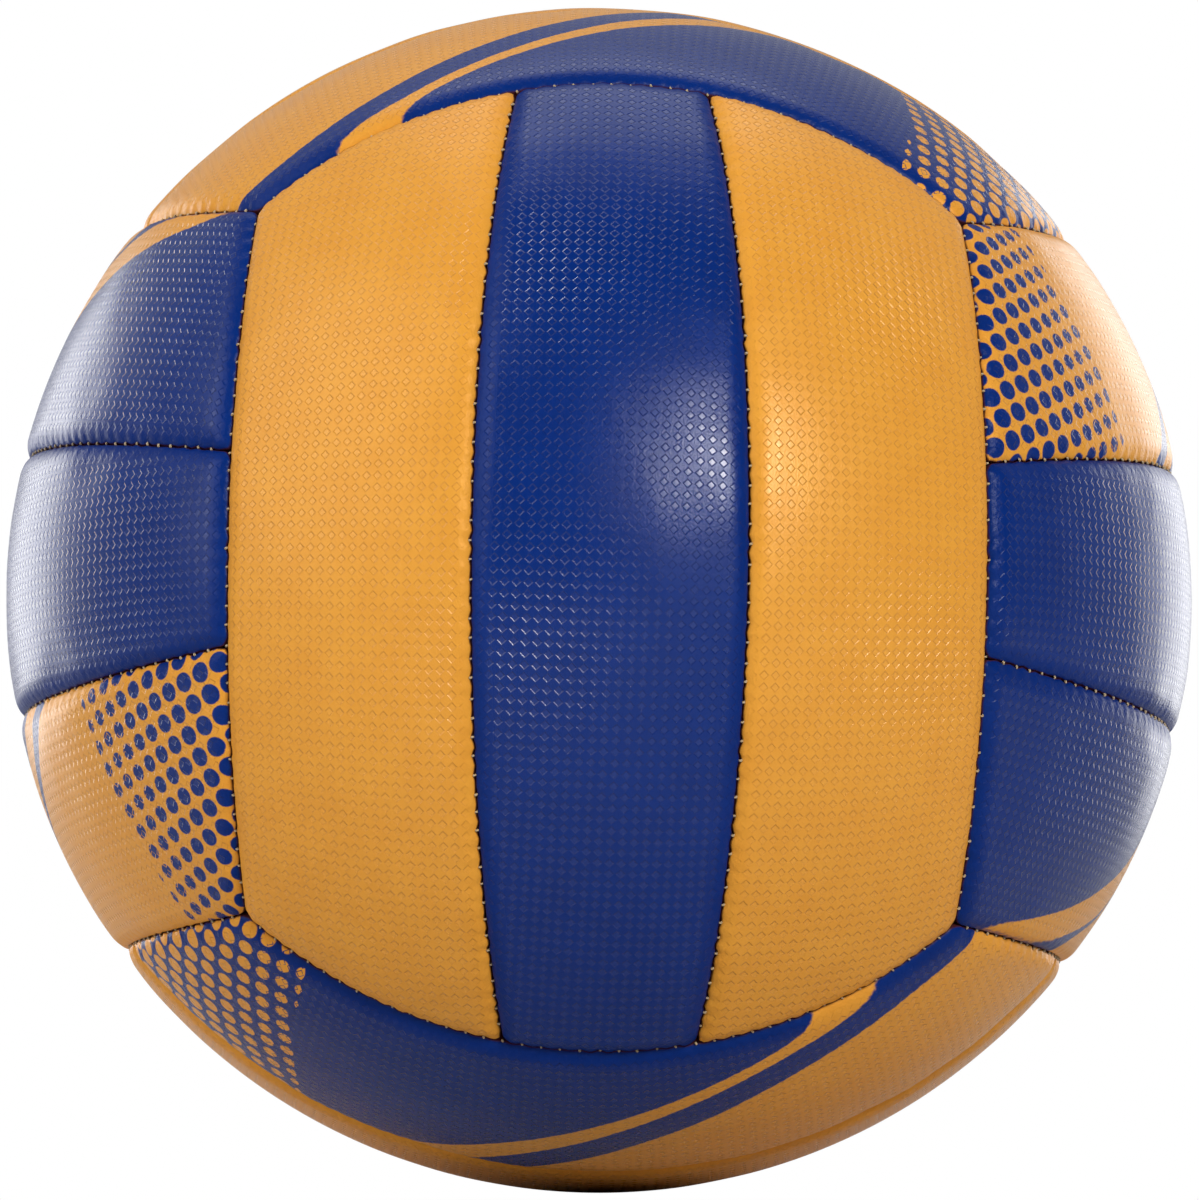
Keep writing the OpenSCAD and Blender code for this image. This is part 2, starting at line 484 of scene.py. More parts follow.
def give_material(piece: bpy.types.Object, material: bpy.types.Material) -> None:
    """Puts one material on every face of an object."""
    piece.data.materials.clear()
    piece.data.materials.append(material)


@dataclass
class PanelCover:
    """One strip of synthetic leather: bowed top, rolled shoulders and turned-in seam allowances.

    The shoulder's cross-section is a quarter of an ellipse, and every stitch pulls a pucker into it.
    """

    name: str
    group: Group
    lane: int
    cover: Cover
    layout: Layout
    valve_hole: float = 0.0
    thickness: float = 0.7
    roll_width: float = 3.6
    roll_depth: float = 1.8
    half_gap: float = 0.04
    allowance: float = 3.8
    corner_power: float = 6.0
    crown: float = 0.34
    crown_run: float = 5.5
    pull_aside: float = 0.09
    pull_down: float = 0.26
    pull_run: float = 2.0
    ripple_near: float = 0.16
    ripple_far: float = 0.05
    foam_top: float = 0.75
    foam_edge: float = 0.95
    foam_roll: float = 1.6
    emboss_turn: float = 2.2
    mesh_step: float = 0.8
    roll_steps: int = 9
    coarse: int = 4
    hole_ease: float = 1.6
    hole_dip: float = 0.3
    hole_rings: int = 6
    hole_room: float = 3.5
    hole_gather: float = 1.6
    ripple_shift: float = 500.0
    least_depth: float = 0.02
    fill: float = 0.95
    ripple: Ripple = field(default_factory=Ripple)
    pull: StitchPull = field(default_factory=StitchPull)

    def build(self, material: bpy.types.Material) -> bpy.types.Object:
        """Builds the panel, dresses it and lets it stand for its solid.

        Args:
            material: the leather's material.

        Returns:
            The new object.
        """
        draft = MeshDraft()
        along, roll_along = self._stations(-self.layout.end_seam, self.layout.end_seam)
        across, roll_across = self._stations(*self.layout.lanes(self.lane))
        outer = self._surface(along, roll_along, across, roll_across, 0.0)
        inner = self._surface(along, roll_along, across, roll_across, self.thickness)
        skip = self._valve_block(along, across)
        top = draft.add(*outer)
        self._grid_with_hole(draft, top, skip, 1)
        rim = rim_of(top)
        rim_points, rim_values = (part.reshape(-1, part.shape[-1])[rim] for part in outer)
        for depth in (0.5 * (self.roll_depth + self.allowance), self.allowance):
            lower = draft.add(*self._sunk(rim_points, rim_values, depth))
            draft.band(rim, lower)
            rim = lower
        every = (slice(None, None, self.coarse), slice(None, None, self.coarse))
        thin = tuple(part[every] for part in inner)
        under = draft.add(*thin)
        self._grid_with_hole(draft, under.T, skip and skip[::-1], self.coarse)
        loop = rim_of(under - under.min())
        thin_points, thin_values = (part.reshape(-1, part.shape[-1])[loop] for part in thin)
        foot = draft.add(*self._sunk(thin_points, thin_values, self.allowance))
        draft.taper(rim, foot)
        draft.band(foot, rim_of(under))
        if skip is not None:
            self._valve_rim(draft, (outer[0], thin[0]), (top, under), skip)
        piece = draft.build(
            "cover_" + self.name,
            self.group.turn(),
            {
                "strip_mm": slice(0, 3),
                "print_mm": slice(3, 6),
                "emboss_mm": slice(6, 9),
                "emboss_axis": slice(9, 12),
            },
        )
        give_material(piece, material)
        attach(piece, ROOT)
        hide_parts("panel_" + self.name)
        return piece

    def _stations(self, start: float, stop: float) -> tuple[np.ndarray, np.ndarray]:
        """Spaces points from one edge to the other, closely where the shoulders roll over.

        Args:
            start: angle of the first edge.
            stop: angle of the second edge.

        Returns:
            The angles, and how far over each shoulder has rolled, 1 at the wall and 0 on the top.
        """
        rolled = np.sin(np.radians(np.linspace(90, 0, self.roll_steps + 1)))
        shoulder = np.degrees((self.half_gap + self.roll_width * (1 - rolled)) / self.layout.radius)
        run = math.radians(stop - start) * self.layout.radius - 2 * (self.half_gap + self.roll_width)
        cells = 2 * self.roll_steps + round(run / self.mesh_step)
        free = cells + (-cells) % self.coarse - 2 * self.roll_steps
        middle = np.linspace(start + shoulder[-1], stop - shoulder[-1], free + 1)[1:-1]
        angles = np.concatenate([start + shoulder, middle, (stop - shoulder)[::-1]])
        rolls = np.concatenate([rolled, np.zeros(free - 1), rolled[::-1]])
        return angles, rolls

    def _surface(
        self, along: np.ndarray, roll_along: np.ndarray, across: np.ndarray, roll_across: np.ndarray,
        sunk: float,
    ) -> tuple[np.ndarray, np.ndarray]:
        """Works out the leather's outer face, or the face that lies a thickness below it.

        Args:
            along: angles along the strip.
            roll_along: how far the shoulders at the strip's ends have rolled over at each.
            across: angles across the group.
            roll_across: how far the shoulders along the strip have rolled over at each.
            sunk: thickness between the outer face and this one.

        Returns:
            The points, and what the material reads at each.
        """
        layout, power = self.layout, self.corner_power
        roll_a, roll_c = np.meshgrid(roll_along, roll_across, indexing="ij")
        most = np.maximum(roll_a, roll_c)
        norm = (roll_a**power + roll_c**power) ** (1 / power)
        ease = np.divide(most, norm, out=np.ones_like(most), where=norm > 0)
        a, c = np.meshgrid(along, across, indexing="ij")
        low, high = layout.lanes(self.lane)
        flat = layout.place(a, c, self.lane)
        ends = [layout.end(side) for side in (-1, 1)]
        longs = self._long_seams()
        side_a = np.where(a > 0, 1, 0)
        side_c = np.where(c > 0.5 * (across[0] + across[-1]), 1, 0)
        run_a = np.where(side_a == 1, ends[1].along(flat), ends[0].along(flat))
        run_c = np.where(side_c == 1, longs[1].along(flat), longs[0].along(flat))
        held_a, held_c = self.pull.held(run_a), self.pull.held(run_c)
        outer_seam = side_c == (1 if self.lane > 0 else 0)
        yields = -1.0 if self.lane == 0 else np.where(outer_seam, -1.0, 1.0)
        reach_a = self._reach(roll_a * ease, held_a, self.pull.sway(run_a), sunk)
        reach_c = self._reach(roll_c * ease, held_c, yields * self.pull.sway(run_c), sunk)
        last = layout.end_seam
        a = np.where(roll_a > 0, np.where(side_a == 1, last - reach_a, reach_a - last), a)
        c = np.where(roll_c > 0, np.where(side_c == 1, high - reach_c, low + reach_c), c)
        points = layout.place(a, c, self.lane)
        away = [seam.away(points) for seam in (*ends, *longs)]
        held = [held_a, held_a, held_c, held_c]
        fade = np.sqrt(np.maximum(1 - most**2, 0))
        depth = sunk + (self.roll_depth - sunk) * (1 - fade)
        nearest = np.minimum.reduce(away)
        near = np.exp(-nearest / self.crown_run)
        depth = depth + fade * self.crown * near
        pulled = sum(hold * np.exp(-((far / self.pull_run) ** 2)) for far, hold in zip(away, held))
        depth = depth + fade * self.pull_down * pulled
        shift = self.ripple_shift * np.array(self.group.value[1]) / 90
        waves = self.ripple.at(points * layout.radius + shift)
        depth = depth + fade * waves * (self.ripple_far + self.ripple_near * near)
        depth = np.minimum(depth, self._foam_depth(nearest) + sunk)
        edge = np.where(most > 0, self.roll_width * (1 - most), nearest - self.half_gap)
        # Below the outer face the edge is -1, which gives these points the material's painted crevice
        # shade.
        values = self._values(points, edge if sunk == 0 else np.full_like(edge, -1.0))
        return points * (layout.radius - np.maximum(depth, self.least_depth))[..., None], values

    def _foam_depth(self, away: np.ndarray) -> np.ndarray:
        """Finds the foam that the leather rests on.

        Args:
            away: distances from the nearest seam.

        Returns:
            The foam's depth at each.
        """
        run = np.clip(self.foam_edge + self.foam_roll - away, 0, self.foam_roll)
        depth = self.foam_top + self.foam_roll - np.sqrt(self.foam_roll**2 - run**2)
        return np.where(away < self.foam_edge, self.allowance, depth)

    def _reach(self, roll: np.ndarray, held: np.ndarray, sway: np.ndarray, sunk: float) -> np.ndarray:
        """Works out how far from a seam the leather is where its shoulder has rolled so far over.

        Args:
            roll: how far over the shoulder has rolled.
            held: how firmly a stitch holds the place.
            sway: how far the seam bulges away from this panel there.
            sunk: thickness between the outer face and this one.

        Returns:
            Angles between the seam and the leather.
        """
        gap = self.half_gap + self.pull_aside * held * roll - sway * roll**2
        width = gap + self.roll_width - (self.roll_width - sunk) * roll
        return np.degrees(width / self.layout.radius)

    def _long_seams(self) -> list[Seam]:
        """Finds the seams along the strip.

        Returns:
            Both of them, the one at the lower angle first.
        """
        if self.lane == 0:
            return [self.layout.long(-1, False), self.layout.long(1, False)]
        pair = [self.layout.long(self.lane, False), self.layout.long(self.lane, True)]
        return pair if self.lane > 0 else pair[::-1]

    def _values(self, points: np.ndarray, edge: np.ndarray) -> np.ndarray:
        """Lists what the material reads at unit vectors.

        Args:
            points: unit vectors.
            edge: length from the wall of the nearest seam, over the surface.

        Returns:
            For each point, lengths along, across and from the edge; how far it is past the print's three
            borders; the emboss's two coordinates and how far it is through the dots; and the direction of
            the emboss's first coordinate on the finished ball.
        """
        low, high = self.layout.lanes(self.lane)
        at = math.radians((low + high) / 2)
        lean = math.radians(float(self.layout.lean_across(np.array((low + high) / 2), self.lane)))
        line = Seam(
            np.array([0, math.cos(lean), -math.sin(lean)]),
            math.pi / 2 - at + lean,
            np.array([0, math.sin(at), math.cos(at)]),
            self.layout.radius,
        )
        along = line.along(points)
        across = self.layout.radius * (line.half - np.arccos(np.clip(points @ line.axis, -1, 1)))
        layout = PRINTS.get(self.cover)
        if layout is None:
            printed = np.broadcast_to([0.0, 0.0, 0.0, 9.0], (*along.shape, 4))
        else:
            printed = layout.values(along, across, self.lane)
        draw = np.random.default_rng(sum(map(ord, self.name)))
        turn, shift = math.radians(draw.uniform(-self.emboss_turn, self.emboss_turn)), draw.uniform(0, 2, 2)
        emboss_x = along * math.cos(turn) - across * math.sin(turn) + shift[0]
        emboss_y = along * math.sin(turn) + across * math.cos(turn) + shift[1]
        ahead = np.cross(line.axis, points)
        ahead = ahead / np.linalg.norm(ahead, axis=-1, keepdims=True)
        towards = np.cross(points, ahead)
        axis = (ahead * math.cos(turn) - towards * math.sin(turn)) @ self.group.turn().T
        lengths = np.stack([along, across, edge], axis=-1)
        rest = np.stack([emboss_x, emboss_y, printed[..., 3]], axis=-1)
        return np.concatenate([lengths, printed[..., :3], rest, axis], axis=-1)

    def _sunk(self, points: np.ndarray, values: np.ndarray, depth: float) -> tuple[np.ndarray, np.ndarray]:
        """Moves points down to a depth below the ball's surface, as part of a wall.

        Args:
            points: the points.
            values: what the material reads at each.
            depth: the depth that they come to.

        Returns:
            The moved points, and their values marked as wall.
        """
        length = np.linalg.norm(points, axis=-1, keepdims=True)
        marked = values.copy()
        # An edge of -1 gives these wall points the material's painted crevice shade.
        marked[..., 2] = -1.0
        return points / length * (self.layout.radius - depth), marked

    def _valve_block(self, along: np.ndarray, across: np.ndarray) -> Block | None:
        """Finds the cells that make room for the valve.

        Args:
            along: angles along the strip.
            across: angles across the group.

        Returns:
            The block of cells, or None without a valve.
        """
        if not self.valve_hole:
            return None
        reach = math.degrees((self.valve_hole + self.hole_room) / self.layout.radius)
        block = []
        for angles in (along, across):
            first = int(np.searchsorted(angles, -reach)) // self.coarse * self.coarse
            last = -(-int(np.searchsorted(angles, reach)) // self.coarse) * self.coarse
            block.append(slice(first, last))
        return tuple(block)

    def _grid_with_hole(self, draft: MeshDraft, indices: np.ndarray, skip: Block | None, step: int) -> None:
        """Fills a face of the leather, without the block of cells round the valve.

        Args:
            draft: the draft to add to.
            indices: the face's points.
            skip: the block, in cells of the outer face.
            step: how many of those cells one cell of this face is long.
        """
        if skip is not None:
            skip = tuple(slice(part.start // step, part.stop // step) for part in skip)
        draft.grid(indices, skip)

    def _valve_rim(
        self, draft: MeshDraft, faces: tuple[np.ndarray, ...], indices: tuple[np.ndarray, ...], skip: Block
    ) -> None:
        """Closes the block round the valve with rings that end in a round hole with a pressed-in edge.

        Args:
            draft: the draft to add to.
            faces: the points of the leather's outer face and of its lower one.
            indices: the indices of both.
            skip: the block, in cells of the outer face.
        """
        radius, loops = self.layout.radius, []
        for points, face, step, sunk in zip(faces, indices, (1, self.coarse), (0.0, self.thickness)):
            loop = rim_of(face[tuple(slice(part.start // step, part.stop // step + 1) for part in skip)])
            flat = points.reshape(-1, 3)[loop - face.min()]
            spread = flat[:, :2] / flat[:, 2:] * radius
            reach = np.linalg.norm(spread, axis=1, keepdims=True)
            height = np.linalg.norm(flat, axis=1, keepdims=True)
            for ring in range(1, self.hole_rings + 1):
                share = 1 - (1 - ring / self.hole_rings) ** self.hole_gather
                now = reach + (self.valve_hole - reach) * share
                plane = np.concatenate([spread / reach * now, np.full_like(now, radius)], axis=1)
                unit = plane / np.linalg.norm(plane, axis=1, keepdims=True)
                dip = self.hole_dip * np.maximum(1 - (now - self.valve_hole) / self.hole_ease, 0) ** 2
                started = (radius - height - sunk) * (1 - share)
                # Near the valve hole's edge, and below the outer face, this edge gives the material's
                # painted crevice shade.
                edge = now[:, 0] - self.valve_hole if sunk == 0 else np.full(len(now), -1.0)
                lower = draft.add(unit * (radius - sunk - dip - started), self._values(unit, edge))
                draft.band(*((lower, loop) if sunk == 0 else (loop, lower)))
                loop = lower
            loops.append(loop)
        draft.taper(*(np.roll(loop[::-1], 1) for loop in loops))


@dataclass
class GroupStitches:
    """The lockstitches of one group's four seams: a short bowed rung of thread for each stitch."""

    group: Group
    layout: Layout
    pull: StitchPull = field(default_factory=StitchPull)
    thread: float = 0.42
    reach: float = 0.26
    bow: float = 0.2
    slant: float = 0.35
    depth: float = 1.3
    sunk_jitter: float = 0.16
    end_margin: float = 3.0
    rings: int = 7
    sides: int = 8
    jitter: float = 0.12
    seed: int = 11

    def build(self, material: bpy.types.Material) -> bpy.types.Object:
        """Builds the group's stitches and lets them stand for its thread.

        Args:
            material: the thread's material.

        Returns:
            The new object.
        """
        name = self.group.value[0]
        draft = MeshDraft()
        draw = np.random.default_rng(self.seed + len(name))
        for side in (-1, 1):
            for seam, corner in self._seams(side):
                half_run = abs(float(seam.along(corner))) - self.end_margin
                count = int(half_run // self.pull.pitch)
                self._stitch(draft, seam, np.arange(-count, count + 1) * self.pull.pitch, draw)
        piece = draft.build("stitches_" + name, self.group.turn(), {"thread_mm": slice(0, 3)})
        give_material(piece, material)
        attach(piece, ROOT)
        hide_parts("seam_thread_" + name)
        return piece

    def _seams(self, side: int) -> list[tuple[Seam, np.ndarray]]:
        """Finds the seams that this group's thread sews at one side.

        Args:
            side: which side of the group, -1 or 1.

        Returns:
            The end seam and the inner seam, each with the place where it ends.
        """
        layout = self.layout
        corner = layout.place(np.array(float(layout.end_seam)), np.array(layout.side_seam), 1)
        meeting = layout.place(np.array(float(layout.end_seam)), np.array(side * layout.inner_seam), 0)
        return [
            (layout.end(side), corner * np.array([side, 1, 1])),
            (layout.long(side, False), meeting),
        ]

    def _stitch(self, draft: MeshDraft, seam: Seam, places: np.ndarray, draw: np.random.Generator) -> None:
        """Adds a closed tube for each stitch along a seam.

        Args:
            draft: the draft to add to.
            seam: the seam.
            places: lengths along the seam.
            draw: the source of each stitch's small irregularity.
        """
        ahead, beyond = seam.axes()
        ring = np.linspace(-1, 1, self.rings)
        turn = np.linspace(0, 2 * math.pi, self.sides, endpoint=False)
        for place in places:
            at = (place + draw.normal(0, self.jitter)) / (seam.radius * math.sin(seam.half))
            out = math.cos(at) * ahead + math.sin(at) * beyond
            run = -math.sin(at) * ahead + math.cos(at) * beyond
            up = math.sin(seam.half) * out + math.cos(seam.half) * seam.axis
            over = math.cos(seam.half) * out - math.sin(seam.half) * seam.axis
            lean = self.slant * (1 + draw.normal(0, 0.25))
            top = seam.radius - self.depth - abs(draw.normal(0, self.sunk_jitter))
            aside = float(self.pull.sway(np.array(place)))
            thick = 0.5 * self.thread * (1 - 0.3 * ring**4) * (1 + draw.normal(0, 0.06))
            line = over + lean * run
            line = line / np.linalg.norm(line)
            beside = np.cross(up, line)
            centre = (
                up * (top - self.bow * ring[:, None] ** 2)
                + line * (self.reach * ring[:, None])
                + over * aside
            )
            tangent = line + up * (-2 * self.bow * ring[:, None] / self.reach)
            tangent = tangent / np.linalg.norm(tangent, axis=1, keepdims=True)
            normal = np.cross(tangent, beside)
            tube = centre[:, None] + thick[:, None, None] * (
                np.cos(turn)[None, :, None] * beside + np.sin(turn)[None, :, None] * normal[:, None]
            )
            lay = np.broadcast_to((ring * self.reach)[:, None], (self.rings, self.sides))
            angle = np.broadcast_to(turn * self.thread / 2, (self.rings, self.sides))
            values = np.stack([lay, angle, np.zeros_like(lay)], axis=-1)
            indices = draft.add(tube, values)
            for k in range(self.rings - 1):
                draft.band(indices[k], indices[k + 1])
            for cap, tip in ((indices[0], 0), (indices[-1], -1)):
                half = self.sides // 2
                cap = cap if tip else cap[::-1]
                for k in range(half - 1):
                    draft.quads(cap[k : k + 1], cap[k + 1 : k + 2], cap[-k - 2 :][:1], cap[-k - 1 :][:1])


def linear(colour: str) -> tuple[float, float, float, float]:
    """Turns an sRGB hex value to the linear colour that a shader takes.

    Args:
        colour: the hex value.

    Returns:
        Its linear red, green and blue, and full alpha.
    """
    channels = [int(colour[k : k + 2], 16) / 255 for k in (1, 3, 5)]
    return (*(c / 12.92 if c <= 0.04045 else ((c + 0.055) / 1.055) ** 2.4 for c in channels), 1.0)


def add(tree: Tree, kind: str, settings: dict | None = None, inputs: dict | None = None) -> bpy.types.Node:
    """Adds a node to a tree.

    Args:
        tree: the node tree.
        kind: the node's type, without its ShaderNode prefix.
        settings: the node's own properties.
        inputs: for each input, by name or number, a value or the output that feeds it.

    Returns:
        The new node.
    """
    made = tree.nodes.new("ShaderNode" + kind)
    for key, value in (settings or {}).items():
        setattr(made, key, value)
    for key, value in (inputs or {}).items():
        if isinstance(value, Socket):
            tree.links.new(value, made.inputs[key])
        else:
            made.inputs[key].default_value = value
    return made


def ramp(tree: Tree, stops: list[tuple[float, float | str]], factor: Socket) -> Socket:
    """Adds a colour ramp and returns its colour.

    Args:
        tree: the node tree.
        stops: each stop's place, with a grey level or a hex colour.
        factor: what drives the ramp.

    Returns:
        The ramp's colour output.
    """
    made = add(tree, "ValToRGB", inputs={"Fac": factor})
    band = made.color_ramp.elements
    while len(band) < len(stops):
        band.new(0.5)
    for element, (place, colour) in zip(band, stops):
        element.position = place
        element.color = linear(colour) if isinstance(colour, str) else (colour, colour, colour, 1)
    return made.outputs["Color"]


def new_material(name: str, inputs: dict) -> tuple[bpy.types.Material, Tree, bpy.types.Node]:
    """Makes a material with one Principled shader.

    Args:
        name: the material's name.
        inputs: values for the shader's own sockets.

    Returns:
        The material, its tree and the shader.
    """
    material = bpy.data.materials.new(name)
    material.use_nodes = True
    tree = material.node_tree
    tree.nodes.clear()
    shader = add(tree, "BsdfPrincipled", inputs=inputs)
    add(tree, "OutputMaterial", inputs={"Surface": shader.outputs["BSDF"]})
    return material, tree, shader


def dress_surface(
    tree: Tree, shader: bpy.types.Node, colours: list[tuple[float, str]], pattern: Socket,
    bump: tuple[float, float], relief: Socket | None = None,
) -> None:
    """Colours a surface by a pattern and raises that pattern, or another, as fine relief.

    Args:
        tree: the node tree.
        shader: the shader to feed.
        colours: each colour's place in the pattern, with its hex value.
        pattern: the pattern.
        bump: the relief's strength, and its height in millimetres.
        relief: the pattern that is raised, where it is another one.
    """
    strength, height = bump
    raised = add(tree, "Bump", inputs={
        "Strength": strength, "Distance": height * MM, "Height": relief or pattern}).outputs["Normal"]
    tree.links.new(ramp(tree, colours, pattern), shader.inputs["Base Color"])
    tree.links.new(raised, shader.inputs["Normal"])


@dataclass(frozen=True)
class EmbossedLeather:
    """Polyurethane synthetic leather, cast on cloth, printed and embossed by a hot roller.

    The roller leaves a square lattice of small diamonds pressed in with steep walls, on a finely grained
    ground. The diamonds catch the light as glossy flats, and their walls as thin glints. Rolling the
    shoulders over at the seams presses the lattice flat there and leaves them duller.
    """

    gold: str = "#eaa23b"
    gold_deep: str = "#e69c37"
    blue: str = "#002a77"
    blue_deep: str = "#002771"
    # The two groove colours are painted shade: darker colours that stand in for the shade that falls in the
    # lattice's grooves.
    gold_groove_shade: str = "#d98f31"
    blue_groove_shade: str = "#00226a"
    # The crevice colour is painted shade: a dark maroon that stands in for the shade in the seam's crevice,
    # on its walls and round the valve hole.
    crevice: str = "#4a2022"
    pitch: float = 1.95
    diamond: float = 1.46
    groove: float = 0.22
    steepness: float = 0.37
    grain: float = 0.42
    grain_height: float = 0.05
    wrinkle: float = 1.1
    dot_spacing: float = 4.03
    dot_turn: float = 14.5
    dot_large: float = 1.78
    dot_small: float = 1.3
    roughness: float = 0.24
    ground_roughness: float = 0.27
    ior: float = 1.5
    pearl: float = 0.03
    pearl_tint: str = "#fffae2"
    gloss: tuple[float, float, float] = (0.6, 0.3, 0.52)
    shoulder_gloss: float = 0.12
    shoulder_roughness: float = 0.36
    gold_roughness: float = 0.03
    emboss_from: tuple[float, float] = (0.8, 2.2)
    gloss_from: tuple[float, float] = (0.8, 4.2)
    wrinkles_to: tuple[float, float] = (0.8, 3.2)
    crevice_to: tuple[float, float] = (0.0, 0.25)
    wrinkle_height: float = 0.13
    mottle_scale: float = 0.12
    wobble_scale: float = 0.8
    wobble: float = 0.25
    stripe_soft: float = 0.15
    dot_soft: float = 0.12
    dots_end: tuple[float, float] = (0.98, 1.04)
    dots_gone: float = 4.0
    dots_break: tuple[float, float] = (0.6, 0.95)
    dots_bare: tuple[float, float] = (0.1, 2.2)

    def build(self, cover: Cover) -> bpy.types.Material:
        """Builds the leather's material for one kind of cover.

        Args:
            cover: the cover's colour or print.

        Returns:
            The material.
        """
        material, tree, shader = new_material("embossed_leather_" + cover.value, {"IOR": self.ior})
        strip = add(tree, "Attribute", {"attribute_name": "strip_mm"}).outputs["Vector"]
        emboss = add(tree, "Attribute", {"attribute_name": "emboss_mm"}).outputs["Vector"]
        edge = add(tree, "SeparateXYZ", inputs={"Vector": strip}).outputs["Z"]
        reach, sides = self._cell(tree, emboss)
        lattice = self._lattice(tree, reach)
        flat = self._step(tree, edge, *self.emboss_from)
        ink = self._ink(tree, cover, strip, lattice)
        tree.links.new(self._colour(tree, strip, edge, ink, lattice, flat), shader.inputs["Base Color"])
        self._pearl(tree, shader, ink)
        self._gloss(tree, shader, edge, ink, lattice)
        slope = add(tree, "Math", {"operation": "MULTIPLY"},
                    {0: self._slope(tree, reach), 1: flat}).outputs["Value"]
        tilt = self._tilt(tree, sides, slope)
        relief = self._bump(tree, strip, edge, lattice)
        leaning = add(tree, "VectorMath", {"operation": "ADD"}, {0: relief, 1: tilt}).outputs["Vector"]
        normal = add(tree, "VectorMath", {"operation": "NORMALIZE"}, {0: leaning}).outputs["Vector"]
        tree.links.new(normal, shader.inputs["Normal"])
        return material

    def _colour(
        self, tree: Tree, strip: Socket, edge: Socket, ink: Socket | float, lattice: Socket, flat: Socket
    ) -> Socket:
        """Adds the leather's colour: mottled film, painted shade in the grooves and painted shade in the
        seam's crevice.

        Args:
            tree: the node tree.
            strip: place on the strip.
            edge: length from the nearest seam's wall.
            ink: how blue the surface is.
            lattice: the lattice's height.
            flat: 1 where the lattice is whole, and 0 where the seam presses it flat.

        Returns:
            The colour.
        """
        mix = {"data_type": "RGBA"}
        mottle = add(tree, "TexNoise", inputs={
            "Vector": strip, "Scale": self.mottle_scale, "Detail": 3.0}).outputs["Fac"]
        gold = ramp(tree, [(0.3, self.gold_deep), (0.7, self.gold)], mottle)
        blue = ramp(tree, [(0.3, self.blue_deep), (0.7, self.blue)], mottle)
        film = add(tree, "Mix", mix, {"Factor": ink, "A": gold, "B": blue}).outputs["Result"]
        # Painted shade: where the lattice is sunk, the colour turns darker to stand in for the shade in the
        # grooves.
        painted_groove_shade = add(tree, "Mix", mix, {
            "Factor": ink, "A": linear(self.gold_groove_shade), "B": linear(self.blue_groove_shade)}).outputs["Result"]
        sunk = ramp(tree, [(0.0, 1.0), (0.5, 0.0)], lattice)
        groove_shade_mask = add(tree, "Math", {"operation": "MULTIPLY"}, {0: sunk, 1: flat}).outputs["Value"]
        pressed = add(tree, "Mix", mix, {"Factor": groove_shade_mask, "A": film, "B": painted_groove_shade}).outputs["Result"]
        # Painted shade: next to a seam's wall, and on walls and the underside, the colour turns dark maroon
        # for the shade in the crevice.
        open_air = self._step(tree, edge, *self.crevice_to)
        return add(tree, "Mix", mix, {
            "Factor": open_air, "A": linear(self.crevice), "B": pressed}).outputs["Result"]

    def _pearl(self, tree: Tree, shader: bpy.types.Node, ink: Socket | float) -> None:
        """Gives the gold its faint pearl, which a plain cover has all over and a print only beside its ink.

        Args:
            tree: the node tree.
            shader: the shader to feed.
            ink: how blue the surface is.
        """
        metallic, specular = shader.inputs["Metallic"], shader.inputs["Specular Tint"]
        if isinstance(ink, float):
            metallic.default_value = self.pearl * (1 - ink)
            specular.default_value = WHITE if ink else linear(self.pearl_tint)
            return
        pearl = add(tree, "MapRange", inputs={
            "Value": ink, "To Min": self.pearl, "To Max": 0.0}).outputs["Result"]
        tint = add(tree, "Mix", {"data_type": "RGBA"}, {
            "Factor": ink, "A": linear(self.pearl_tint), "B": WHITE}).outputs["Result"]
        tree.links.new(pearl, metallic)
        tree.links.new(tint, specular)

    def _gloss(
        self, tree: Tree, shader: bpy.types.Node, edge: Socket, ink: Socket | float, lattice: Socket
    ) -> None:
        """Makes the diamonds glossy, the ground duller, and the rolled shoulders dullest.

        Args:
            tree: the node tree.
            shader: the shader to feed.
            edge: length from the nearest seam's wall.
            ink: how blue the surface is.
            lattice: the lattice's height.
        """
        groove, ground, top = self.gloss
        polished = self._step(tree, edge, *self.gloss_from)
        shaded = ramp(tree, [(0.0, groove), (0.5, ground), (0.7, ground), (0.95, top)], lattice)
        gloss = add(tree, "Mix", inputs={
            "Factor": polished, "A": self.shoulder_gloss, "B": shaded}).outputs["Result"]
        tree.links.new(gloss, shader.inputs["Specular IOR Level"])
        rough = add(tree, "MapRange", inputs={
            "Value": lattice, "From Min": 0.6, "To Min": self.ground_roughness,
            "To Max": self.roughness}).outputs["Result"]
        dulled = add(tree, "Mix", inputs={
            "Factor": polished, "A": self.shoulder_roughness, "B": rough}).outputs["Result"]
        matt = add(tree, "MapRange", inputs={
            "Value": ink, "To Min": self.gold_roughness, "To Max": 0.0}).outputs["Result"]
        finish = add(tree, "Math", {"operation": "ADD"}, {0: dulled, 1: matt}).outputs["Value"]
        tree.links.new(finish, shader.inputs["Roughness"])

    def _step(self, tree: Tree, value: Socket, start: float, stop: float) -> Socket:
        """Adds a smooth step from 0 at start to 1 at stop and returns its output."""
        return add(tree, "MapRange", {"interpolation_type": "SMOOTHSTEP"},
                   {"Value": value, "From Min": start, "From Max": stop}).outputs["Result"]

